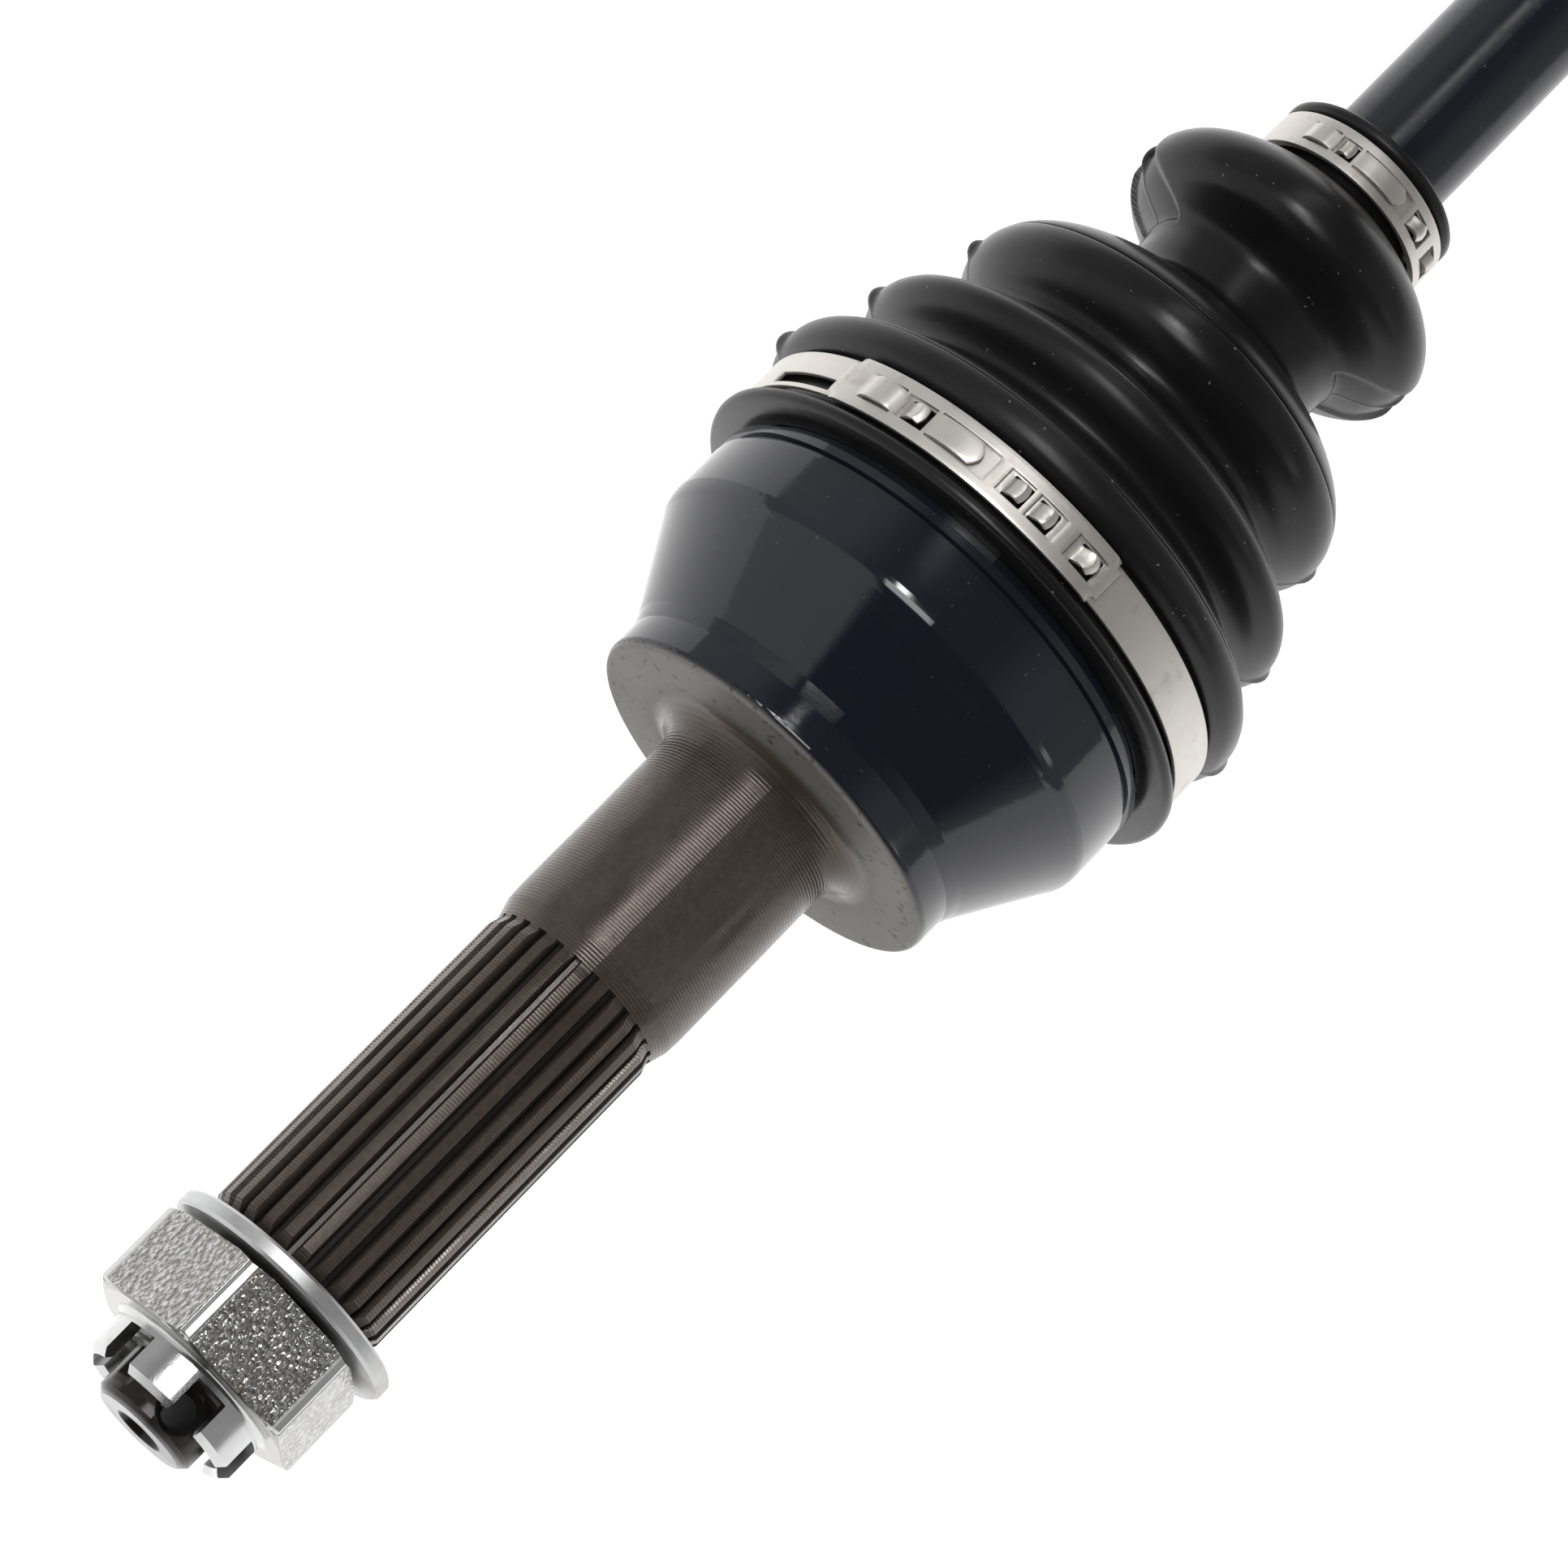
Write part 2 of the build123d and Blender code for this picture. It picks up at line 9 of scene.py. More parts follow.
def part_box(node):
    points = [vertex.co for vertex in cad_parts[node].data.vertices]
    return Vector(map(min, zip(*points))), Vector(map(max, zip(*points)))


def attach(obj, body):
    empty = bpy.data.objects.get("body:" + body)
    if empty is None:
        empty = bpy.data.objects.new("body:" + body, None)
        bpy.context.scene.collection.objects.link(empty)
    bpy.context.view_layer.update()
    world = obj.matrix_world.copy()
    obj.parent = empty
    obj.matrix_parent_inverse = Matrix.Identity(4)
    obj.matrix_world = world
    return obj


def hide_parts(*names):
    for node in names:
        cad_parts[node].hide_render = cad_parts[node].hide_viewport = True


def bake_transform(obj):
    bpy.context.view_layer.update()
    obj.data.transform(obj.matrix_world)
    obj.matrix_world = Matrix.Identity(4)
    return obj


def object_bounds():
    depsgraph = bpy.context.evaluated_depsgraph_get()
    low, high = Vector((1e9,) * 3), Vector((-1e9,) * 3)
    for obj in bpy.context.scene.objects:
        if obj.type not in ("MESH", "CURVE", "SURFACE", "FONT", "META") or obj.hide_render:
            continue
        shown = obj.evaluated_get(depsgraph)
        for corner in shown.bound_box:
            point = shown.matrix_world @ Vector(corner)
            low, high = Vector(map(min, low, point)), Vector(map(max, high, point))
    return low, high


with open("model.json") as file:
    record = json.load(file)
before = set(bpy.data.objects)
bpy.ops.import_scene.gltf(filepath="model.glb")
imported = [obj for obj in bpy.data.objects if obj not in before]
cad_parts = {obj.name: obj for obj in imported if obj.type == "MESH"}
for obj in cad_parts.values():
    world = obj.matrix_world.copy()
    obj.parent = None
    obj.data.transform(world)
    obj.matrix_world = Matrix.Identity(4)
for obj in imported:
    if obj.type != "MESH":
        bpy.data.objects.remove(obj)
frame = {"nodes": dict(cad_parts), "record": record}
cad_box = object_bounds()
nodes = frame["nodes"]
mounts = {m["name"]: m for m in frame["record"]["mounts"]}
MM = 0.001

# Places along the axle, from the frame
seat_x = mounts["hub_seat_face"]["pos_m"][0]
back_x = mounts["gearbox_stop_face"]["pos_m"][0]
cotter_along = (mounts["cotter_hole"]["pos_m"][0] - seat_x) / MM
cotter_axis = mounts["cotter_hole"]["axis"]
cotter_angle = atan2(-cotter_axis[1], cotter_axis[2])
boot_lip_length = 10.6 * MM  # the boot's lip lies this far over the joint's rim
outboard_mouth_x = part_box("outboard_boot")[0][0] + boot_lip_length
inboard_mouth_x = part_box("inboard_boot")[1][0] - boot_lip_length

# Places that the frame doesn't give, in mm: along the axle from the hub seat face, or out from the axis
stub_face = -113.9
nut_front = -104.6  # the front of the nut's hexagon
thread_back = -88.6
spline_groove = (-88.2, -35.4)
spline_floor = (12.55, 13.5)
nut_corner = 17.3
nut_flat_edge = (14.3, 14.7)


# ---------------------------------------------------------------- node helpers
class Nodes:
    """Short calls that add shader nodes to a tree and return their outputs."""

    def __init__(self, tree, coord):
        self.tree = tree
        self.coord = tree.nodes.new("ShaderNodeTexCoord").outputs[coord]
        self.parts = None

    def wire(self, socket, value):
        if isinstance(value, bpy.types.NodeSocket):
            self.tree.links.new(value, socket)
        else:
            socket.default_value = value

    def math(self, operation, a, b=0.0, c=0.0):
        node = self.tree.nodes.new("ShaderNodeMath")
        node.operation = operation
        for socket, value in zip(node.inputs, (a, b, c)):
            self.wire(socket, value)
        return node.outputs[0]

    def times(self, *values):
        result = values[0]
        for value in values[1:]:
            result = self.math("MULTIPLY", result, value)
        return result

    def plus(self, *values):
        result = values[0]
        for value in values[1:]:
            result = self.math("ADD", result, value)
        return result

    def inverse(self, value):
        return self.math("SUBTRACT", 1.0, value)

    def axes(self):
        """X, Y and Z of the point or of the direction."""
        if self.parts is None:
            node = self.tree.nodes.new("ShaderNodeSeparateXYZ")
            self.wire(node.inputs[0], self.coord)
            self.parts = node.outputs
        return self.parts

    def radius(self):
        _, y, z = self.axes()
        return self.math("SQRT", self.plus(self.times(y, y), self.times(z, z)))

    def angle(self):
        """Round the axle: 0 at the top, growing towards -Y."""
        _, y, z = self.axes()
        return self.math("ARCTAN2", self.times(y, -1.0), z)

    def unrolled(self, arc_radius):
        """Coordinates unrolled from the cylinder: along the axle, round it, and outwards."""
        node = self.tree.nodes.new("ShaderNodeCombineXYZ")
        self.wire(node.inputs[0], self.axes()[0])
        self.wire(node.inputs[1], self.times(self.angle(), arc_radius))
        self.wire(node.inputs[2], self.radius())
        return node.outputs[0]

    def scaled(self, vector, scale):
        node = self.tree.nodes.new("ShaderNodeVectorMath")
        node.operation = "MULTIPLY"
        self.wire(node.inputs[0], vector)
        node.inputs[1].default_value = scale
        return node.outputs[0]

    def noise(self, scale, detail=3.0, rough=0.5, vector=None):
        node = self.tree.nodes.new("ShaderNodeTexNoise")
        self.wire(node.inputs["Vector"], self.coord if vector is None else vector)
        node.inputs["Scale"].default_value = scale
        node.inputs["Detail"].default_value = detail
        node.inputs["Roughness"].default_value = rough
        return node.outputs["Fac"]

    def cells(self, scale):
        node = self.tree.nodes.new("ShaderNodeTexVoronoi")
        node.feature = "SMOOTH_F1"
        self.wire(node.inputs["Vector"], self.coord)
        node.inputs["Scale"].default_value = scale
        return node.outputs["Distance"]

    def band(self, value, low, high):
        """0 below low, 1 above high, smooth between. low above high turns it round."""
        node = self.tree.nodes.new("ShaderNodeMapRange")
        node.interpolation_type = "SMOOTHSTEP"
        flip = low > high
        self.wire(node.inputs["Value"], value)
        node.inputs["From Min"].default_value = min(low, high)
        node.inputs["From Max"].default_value = max(low, high)
        node.inputs["To Min"].default_value = 1.0 if flip else 0.0
        node.inputs["To Max"].default_value = 0.0 if flip else 1.0
        return node.outputs["Result"]

    def between(self, value, low, high, soft):
        rise = self.band(value, low - soft, low + soft)
        fall = self.band(value, high + soft, high - soft)
        return self.times(rise, fall)

    def mix(self, factor, a, b):
        """Colours or numbers."""
        node = self.tree.nodes.new("ShaderNodeMix")
        node.data_type = "RGBA"
        self.wire(node.inputs[0], factor)
        for socket, value in ((node.inputs[6], a), (node.inputs[7], b)):
            if isinstance(value, (int, float)):
                value = (value, value, value)
            if isinstance(value, tuple):
                value = (*value[:3], 1.0)
            self.wire(socket, value)
        return node.outputs[2]


class Look(Nodes):
    """A material under construction."""

    def __init__(self, name, **values):
        self.mat = bpy.data.materials.new(name)
        self.mat.use_nodes = True
        super().__init__(self.mat.node_tree, "Object")
        self.shader = self.tree.nodes["Principled BSDF"]
        for key, value in values.items():
            self.shader.inputs[key.replace("_", " ")].default_value = value

    def set(self, key, value):
        self.wire(self.shader.inputs[key], value)

    def bump(self, height, distance, normal=None):
        node = self.tree.nodes.new("ShaderNodeBump")
        node.inputs["Distance"].default_value = distance
        self.wire(node.inputs["Height"], height)
        if normal is not None:
            self.wire(node.inputs["Normal"], normal)
        return node.outputs[0]

    def rings(self, pitch):
        """Fine lathe rings across the axle, a little uneven."""
        drift = self.times(self.noise(90.0, 2.0), pitch)
        return self.math("SINE", self.times(self.plus(self.axes()[0], drift), 2 * pi / pitch))


def paint(obj, look):
    """Gives the object this one material."""
    obj.data.materials.clear()
    obj.data.materials.append(look.mat)


# ---------------------------------------------------------------- materials
def paint_coat(look):
    """Colour, roughness and normal of gloss blue-black paint: orange peel, hairlines and a little dust."""
    colour = look.mix(look.noise(28.0, 4.0, 0.6), (0.0040, 0.0045, 0.0080), (0.0070, 0.0078, 0.0125))
    dust = look.band(look.noise(1700.0, 2.0, 0.4), 0.75, 0.775)
    colour = look.mix(look.times(dust, 0.4), colour, (0.10, 0.10, 0.105))
    hair = look.noise(240.0, 5.0, 0.7, look.scaled(look.coord, (1.0, 0.15, 0.15)))
    haze = look.band(look.noise(35.0, 3.0, 0.6), 0.45, 0.70)
    rough = look.plus(0.085, look.times(look.band(hair, 0.52, 0.78), 0.16), look.times(haze, 0.07))
    normal = look.bump(look.noise(460.0, 3.0, 0.55), 0.000009)
    return colour, rough, normal


def black_paint(name, dullness):
    look = Look(name, IOR=1.5)
    colour, rough, normal = paint_coat(look)
    look.set("Base Color", colour)
    look.set("Roughness", look.plus(rough, dullness))
    look.set("Normal", normal)
    return look


def forged_cup_look():
    """The painted cup, its bare seat face and its dark turned stub, told apart by their place."""
    look = Look("cup_paint_and_dark_stub", IOR=1.5)
    along = look.math("DIVIDE", look.math("SUBTRACT", look.axes()[0], seat_x), MM)
    out = look.math("DIVIDE", look.radius(), MM)
    painted = look.band(along, 0.15, 0.75)
    face = look.times(look.band(out, 16.6, 19.6), look.inverse(painted))
    cloud = look.noise(60.0, 5.0, 0.62)
    fine = look.noise(1100.0, 4.0, 0.65)

    # the stub: brown oxide and oily patches, with painted shade in the spline grooves and in the corner by
    # the seat face
    patch = look.noise(46.0, 5.0, 0.6, look.scaled(look.coord, (0.55, 1.0, 1.0)))
    oil = look.band(patch, 0.47, 0.60)
    brown = look.mix(fine, (0.038, 0.028, 0.022), (0.094, 0.075, 0.064))
    brown = look.mix(look.times(oil, 0.55), brown, (0.045, 0.033, 0.026))
    # painted shade: the spline grooves darkened nearly to black
    groove_shade = look.times(look.band(out, *spline_floor[::-1]), look.between(along, *spline_groove, 0.2))
    brown = look.mix(look.times(groove_shade, 0.9), brown, (0.012, 0.009, 0.008))
    # painted shade: darker in the corner where the stub meets the seat face
    corner = look.times(look.band(along, -7.0, -1.0), look.band(out, 20.5, 15.0))
    brown = look.mix(look.times(corner, 0.6), brown, (0.040, 0.029, 0.021))
    tip = look.band(along, thread_back, thread_back - 0.8)
    brown = look.mix(look.times(tip, 0.85), brown, (0.016, 0.015, 0.015))
    end_face = look.times(look.band(along, stub_face + 0.5, stub_face), look.band(out, 3.4, 3.8))
    brown = look.mix(look.times(end_face, 0.8), brown, (0.20, 0.20, 0.205))

    # the cotter hole: painted shade, nearly black inside it
    turn = look.math("SINE", look.math("SUBTRACT", look.angle(), cotter_angle))
    from_hole = look.math("SUBTRACT", along, cotter_along)
    hole_shade = look.plus(look.math("POWER", look.times(turn, out), 2.0), look.times(from_hole, from_hole))
    hole_shade = look.band(hole_shade, 10.5, 8.5)
    brown = look.mix(hole_shade, brown, (0.004, 0.0035, 0.003))

    # the seat face: grey-green, mottled, with dark specks
    olive = look.mix(cloud, (0.070, 0.069, 0.061), (0.150, 0.148, 0.134))
    speck = look.band(look.noise(560.0, 4.0, 0.65), 0.58, 0.66)
    olive = look.mix(look.times(speck, 0.85), olive, (0.020, 0.018, 0.015))
    shade = look.band(out, 21.5, 17.0)
    olive = look.mix(look.times(shade, 0.6), olive, (0.050, 0.038, 0.026))
    bare = look.mix(face, brown, olive)

    colour, rough, peel = paint_coat(look)
    look.set("Base Color", look.mix(painted, bare, colour))
    look.set("Metallic", look.mix(painted, look.mix(face, 0.55, 0.30), 0.0))
    stub_rough = look.mix(hole_shade, look.mix(oil, 0.29, 0.15), 0.8)
    look.set("Roughness", look.mix(painted, look.mix(face, stub_rough, 0.5), rough))
    turned = look.times(look.rings(0.00048), look.between(along, -88.0, 0.2, 0.3))
    turned = look.times(turned, look.band(out, 12.9, 13.4), look.band(out, 19.0, 15.5))
    turned = look.times(turned, look.mix(oil, 1.0, 0.45))
    grain = look.bump(look.noise(1500.0, 3.0, 0.6), 0.000012, look.bump(turned, 0.000020))
    look.set("Normal", look.mix(painted, grain, peel))
    return look


def housing_look():
    """The painted housing with its bare machined stub."""
    look = Look("housing_paint_and_bare_stub", IOR=1.5)
    along = look.math("DIVIDE", look.math("SUBTRACT", look.axes()[0], back_x), MM)
    out = look.math("DIVIDE", look.radius(), MM)
    bare = look.times(look.band(along, -0.3, 0.1), look.band(out, 29.5, 28.5))
    fine = look.noise(1100.0, 4.0, 0.65)
    steel = look.mix(fine, (0.075, 0.066, 0.060), (0.165, 0.150, 0.140))
    stain = look.band(look.noise(70.0, 5.0, 0.62), 0.50, 0.66)
    steel = look.mix(look.times(stain, 0.6), steel, (0.055, 0.040, 0.030))
    # painted shade: the groove in the bare stub darkened nearly to black
    groove_shade = look.times(look.band(out, 13.2, 12.4), look.band(along, 18.0, 20.0))
    steel = look.mix(look.times(groove_shade, 0.85), steel, (0.014, 0.012, 0.010))
    colour, rough, peel = paint_coat(look)
    look.set("Base Color", look.mix(bare, colour, steel))
    look.set("Metallic", look.times(bare, 0.6))
    look.set("Roughness", look.mix(bare, rough, look.plus(0.24, look.times(stain, 0.1))))
    turned = look.bump(look.rings(0.00045), 0.000012)
    look.set("Normal", look.mix(bare, peel, look.bump(look.noise(1500.0, 3.0, 0.6), 0.000010, turned)))
    return look


def zinc_nut_look():
    """Zinc-plated forging: coarse grainy flats, smooth bright crown, brown stains."""
    look = Look("zinc_plated_nut", Metallic=1.0)
    out = look.math("DIVIDE", look.radius(), MM)
    along = look.math("DIVIDE", look.math("SUBTRACT", look.axes()[0], seat_x), MM)
    front = look.band(along, nut_front + 0.4, nut_front + 0.1)
    from_corner = look.math("SUBTRACT", look.angle(), cotter_angle + pi / 6)
    corner = look.math("COSINE", look.times(from_corner, 6.0))
    flats = look.times(look.inverse(front), look.band(out, *nut_flat_edge))
    to_corner = look.times(look.math("ARCCOSINE", corner), nut_corner / 6)
    worn = look.times(flats, look.math("MAXIMUM", look.inverse(look.math("DIVIDE", to_corner, 1.1)), 0.0))
    forged = look.times(flats, look.inverse(look.band(worn, 0.0, 0.35)))
    grains = look.inverse(look.cells(1500.0))
    lumps = look.noise(1500.0, 3.0, 0.55)
    coarse = look.times(look.plus(grains, lumps), forged)
    pit = look.times(look.band(grains, 0.75, 0.45), forged)
    base = look.mix(look.noise(260.0, 4.0, 0.6), (0.46, 0.465, 0.46), (0.64, 0.645, 0.64))
    base = look.mix(look.times(pit, 0.55), base, (0.20, 0.175, 0.15))
    stain = look.band(look.noise(130.0, 5.0, 0.65), 0.56, 0.72)
    base = look.mix(look.times(stain, 0.5), base, (0.26, 0.19, 0.13))
    ring = look.times(front, look.band(out, 12.3, 12.8))
    look.set("Base Color", look.mix(look.times(ring, 0.6), base, (0.19, 0.175, 0.16)))
    look.set("Roughness", look.mix(forged, 0.20, 0.25))
    fine = look.bump(look.noise(2600.0, 2.0, 0.6), 0.000012)
    look.set("Normal", look.bump(look.plus(coarse, look.times(worn, -1.7)), 0.00026, fine))
    return look


def washer_look():
    """Zinc-plated washer with fine turned lines, light scratches and stains."""
    look = Look("zinc_plated_washer", Metallic=1.0)
    cloud = look.noise(160.0, 5.0, 0.62)
    base = look.mix(cloud, (0.40, 0.405, 0.405), (0.62, 0.625, 0.62))
    stain = look.band(look.noise(75.0, 4.0, 0.6), 0.56, 0.72)
    look.set("Base Color", look.mix(look.times(stain, 0.55), base, (0.27, 0.20, 0.14)))
    look.set("Roughness", look.plus(0.34, look.times(cloud, 0.18)))
    lines = look.math("SINE", look.times(look.radius(), 2 * pi / 0.00035))
    scratch = look.noise(900.0, 3.0, 0.6, look.scaled(look.unrolled(0.0175), (1.0, 0.2, 1.0)))
    look.set("Normal", look.bump(look.plus(look.times(lines, 0.3), scratch), 0.000022))
    return look


def plain_steel_look(name, dark, light, rough):
    """Bare steel inside the joints: a ground finish with a film of grease."""
    look = Look(name, Metallic=1.0)
    cloud = look.noise(140.0, 4.0, 0.6)
    look.set("Base Color", look.mix(cloud, dark, light))
    look.set("Roughness", look.plus(rough, look.times(cloud, 0.12)))
    look.set("Normal", look.bump(look.noise(1300.0, 3.0, 0.6), 0.000004))
    return look


def rubber_look():
    """Satin black moulded rubber: soft sheen, mould grain, smears and dust."""
    look = Look("boot_rubber", IOR=1.34)
    smear = look.noise(42.0, 5.0, 0.6, look.scaled(look.unrolled(0.03), (1.0, 0.4, 1.0)))
    colour = look.mix(smear, (0.0025, 0.0025, 0.0027), (0.0060, 0.0060, 0.0063))
    dust = look.band(look.noise(1300.0, 2.0, 0.4), 0.755, 0.775)
    look.set("Base Color", look.mix(look.times(dust, 0.5), colour, (0.16, 0.16, 0.16)))
    look.set("Roughness", look.plus(0.25, look.times(look.band(smear, 0.35, 0.7), 0.13)))
    grain = look.bump(look.noise(1500.0, 3.0, 0.6), 0.000008)
    look.set("Normal", look.bump(look.noise(170.0, 3.0, 0.5), 0.00003, grain))
    return look


def clamp_look():
    """Satin stainless strip, slightly warm, with faint stains and rolling lines."""
    look = Look("clamp_strip", Metallic=1.0)
    cloud = look.noise(130.0, 5.0, 0.62)
    base = look.mix(cloud, (0.53, 0.50, 0.46), (0.70, 0.675, 0.64))
    stain = look.band(look.noise(210.0, 4.0, 0.6), 0.58, 0.72)
    look.set("Base Color", look.mix(look.times(stain, 0.4), base, (0.36, 0.31, 0.25)))
    look.set("Roughness", look.plus(0.38, look.times(cloud, 0.16)))
    roll = look.noise(600.0, 3.0, 0.6, look.scaled(look.unrolled(0.038), (1.0, 0.06, 1.0)))
    dents = look.noise(330.0, 2.0, 0.5)
    look.set("Normal", look.bump(look.plus(roll, look.times(dents, 2.0)), 0.000022))
    return look


cup_material = forged_cup_look()
bar_material = black_paint("bar_paint", 0.12)
rubber_material = rubber_look()
clamp_material = clamp_look()
race_material = plain_steel_look("greased_race_steel", (0.30, 0.29, 0.27), (0.46, 0.45, 0.43), 0.25)
ball_material = plain_steel_look("polished_ball_steel", (0.66, 0.67, 0.69), (0.78, 0.79, 0.80), 0.06)
spring_material = plain_steel_look("blued_spring_steel", (0.09, 0.09, 0.10), (0.17, 0.17, 0.19), 0.28)

paint(nodes["outboard_cup_and_stub"], cup_material)
paint(nodes["axle_bar"], bar_material)
paint(nodes["inboard_housing"], housing_look())
paint(nodes["castle_nut"], zinc_nut_look())
paint(nodes["hub_washer"], washer_look())
for name, obj in nodes.items():
    if "_ball_" in name:
        paint(obj, ball_material)
    elif name.endswith(("_race", "_cage")):
        paint(obj, race_material)
    elif name.endswith(("_ring", "circlip")):
        paint(obj, spring_material)
    elif "clamp" in name:
        paint(obj, clamp_material)
    elif name.endswith("_boot"):
        paint(obj, rubber_material)


# ---------------------------------------------------------------- mesh helpers
def round_point(x, radius, angle):
    """A point at x along the axle, at this radius and angle in degrees round it."""
    return Vector((x, -sin(radians(angle)) * radius, cos(radians(angle)) * radius))


def smooth_step(value, low, high):
    t = min(max((value - low) / (high - low), 0.0), 1.0)
    return t * t * (3 - 2 * t)


def smooth_curve(points, steps):
    """A smooth line through the points, as a Catmull-Rom spline."""
    padded = [points[0], *points, points[-1]]
    line = []
    for a, b, c, d in zip(padded, padded[1:], padded[2:], padded[3:]):
        for k in range(steps):
            t = k / steps
            line.append(tuple(
                0.5 * (
                    2 * q + (r - p) * t + (2 * p - 5 * q + 4 * r - s) * t**2
                    + (3 * q - p - 3 * r + s) * t**3
                )
                for p, q, r, s in zip(a, b, c, d)
            ))
    return [*line, points[-1]]


def new_piece(name, mesh_data, look):
    obj = bpy.data.objects.new(name, mesh_data)
    bpy.context.scene.collection.objects.link(obj)
    paint(obj, look)
    return obj


def apply_modifiers(obj):
    """Bakes the object's modifiers into its mesh."""
    graph = bpy.context.evaluated_depsgraph_get()
    baked = bpy.data.meshes.new_from_object(obj.evaluated_get(graph))
    old = obj.data
    obj.modifiers.clear()
    obj.data = baked
    bpy.data.meshes.remove(old)


# ---------------------------------------------------------------- boots
# Outlines in millimetres: from the joint's mouth towards the bar, and out from the axis.
boot_big_lip = [
    (-10.6, 34.75), (-10.6, 39.2), (-10.3, 39.75), (-9.7, 39.95),
    (-9.1, 39.85), (-8.5, 39.1), (-8.15, 37.6),
]
boot_folds = [
    (-8.0, 37.40), (-4.0, 37.38), (-0.4, 37.40), (0.3, 38.3),
    (1.5, 39.65), (3.2, 40.1), (5.0, 39.7), (6.6, 38.1),
    (8.1, 35.3), (9.7, 32.4), (11.3, 31.3), (12.8, 32.3),
    (14.2, 34.4), (15.6, 35.6), (17.0, 35.9), (18.4, 35.3),
    (20.0, 33.3), (21.7, 29.9), (23.1, 27.5), (24.4, 26.75), (25.8, 27.2), (27.5, 28.9), (29.4, 30.45),
    (31.4, 31.1), (33.6, 30.9), (36.2, 29.5), (38.6, 26.8), (40.8, 23.0), (42.5, 19.2), (43.9, 16.9),
    (45.6, 16.05), (48.5, 15.95), (51.2, 16.2), (52.7, 17.4), (53.9, 19.7), (55.2, 22.1), (57.0, 23.7),
    (59.0, 24.2), (61.1, 23.9), (63.2, 22.7), (65.2, 20.5), (67.0, 17.6), (68.6, 14.6), (69.6, 12.6),
]
boot_small_lip = [
    (70.0, 12.15), (76.8, 12.15), (77.1, 12.4), (77.3, 13.9),
    (77.8, 14.3), (78.6, 14.3), (79.05, 13.9), (79.1, 9.5),
]
boot_lining = [
    (66.5, 9.5), (60.0, 21.4), (57.5, 21.2), (53.5, 13.9),
    (44.0, 13.7), (32.8, 28.6), (30.8, 28.6), (24.3, 24.9),
    (17.2, 33.4), (15.8, 33.3), (11.5, 28.6), (6.2, 36.6), (4.0, 37.6), (2.8, 37.4), (1.6, 34.75),
]
parting_angles = (-90.0, 90.0)  # where the two halves of the mould meet
fold_crests = ((3.2, 2.0), (17.0, 2.4), (31.4, 1.6), (59.0, 2.6))  # place, and length of its flash bead
creases = (5.6, 18.9, 34.6)  # fine lines on the bar side of the crests
last_fold = (51.5, 69.0)


def boot_angles():
    """Angles round the boot, closer together at the mould's parting lines."""
    angles, angle = [], -180.0
    while angle < 180.0 - 0.3:
        angles.append(angle)
        near = min(abs(angle - p) for p in parting_angles)
        angle += 0.75 if near < 4 else 1.25 if near < 34 else 2.5
    return angles


def boot_relief(t, angle):
    """What the mould left on the rubber: flash along its parting lines, beads on the crests and a step
    on the last fold."""
    lift = 0.0
    for parting in parting_angles:
        off = abs(angle - parting)
        lift += 0.16 * max(0.0, 1 - off / 1.1)
        for crest, length in fold_crests:
            reach = max(0.0, 1 - ((t - crest) / length) ** 2)
            lift += (0.8 if parting < 0 else 0.4) * sqrt(reach) * max(0.0, 1 - (off / 2.1) ** 2)
        edge = 27.0 - 16.0 * smooth_step(t, last_fold[0], last_fold[0] + 7)
        on_fold = smooth_step(t, last_fold[0], last_fold[0] + 1.2)
        on_fold *= smooth_step(t, last_fold[1], last_fold[1] - 3)
        lift -= on_fold * smooth_step(off, edge + 0.7, edge - 0.7)
    return lift


def with_creases(line):
    """The outline with a fine groove pressed in at each crease."""
    marked = list(line)
    for crease in creases:
        pairs = zip(line, line[1:])
        (t0, r0), (t1, r1) = next((a, b) for a, b in pairs if a[0] <= crease < b[0])
        slope = (r1 - r0) / (t1 - t0)
        marked = [point for point in marked if abs(point[0] - crease) > 0.45]
        for step, depth in ((-0.4, 0), (-0.14, 0.06), (0, 0.26), (0.14, 0.06), (0.4, 0)):
            marked.append((crease + step, r0 + (crease + step - t0) * slope - depth))
    return sorted(marked)


def boot_mesh(name, mouth_x, facing):
    """The whole bellows, turned from its outline, with the mould's marks on its outer side."""
    outside = with_creases(smooth_curve(boot_folds, 4))
    rows = [(t, r, False) for t, r in boot_big_lip]
    rows += [(t, r, True) for t, r in outside]
    rows += [(t, r, False) for t, r in boot_small_lip + boot_lining]
    angles = boot_angles()
    count = len(angles)
    verts = []
    for t, r, marked in rows:
        for angle in angles:
            lift = boot_relief(t, angle) if marked and t > 0 else 0.0
            verts.append(round_point(mouth_x + facing * t * MM, (r + lift) * MM, angle))
    faces = []
    for row in range(len(rows)):
        below, above = row * count, (row + 1) % len(rows) * count
        for k in range(count):
            n = (k + 1) % count
            quad = (below + k, below + n, above + n, above + k)
            faces.append(quad if facing < 0 else quad[::-1])
    mesh = bpy.data.meshes.new(name)
    mesh.from_pydata(verts, [], faces)
    mesh.shade_smooth()
    mesh.set_sharp_from_angle(angle=radians(48))
    return mesh


def split_mesh(mesh, x, keep_above, name):
    """The part of the mesh on one side of a plane across the axle."""
    bm = bmesh.new()
    bm.from_mesh(mesh)
    geom = bm.verts[:] + bm.edges[:] + bm.faces[:]
    bmesh.ops.bisect_plane(bm, geom=geom, plane_co=(x, 0, 0), plane_no=(1, 0, 0),
                           clear_inner=keep_above, clear_outer=not keep_above)
    part = bpy.data.meshes.new(name)
    bm.to_mesh(part)
    bm.free()
    return part


def make_outboard_boot():
    name = "outboard_bellows"
    boot = new_piece(name, boot_mesh(name, outboard_mouth_x, 1), rubber_material)
    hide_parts("outboard_boot")
    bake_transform(boot)


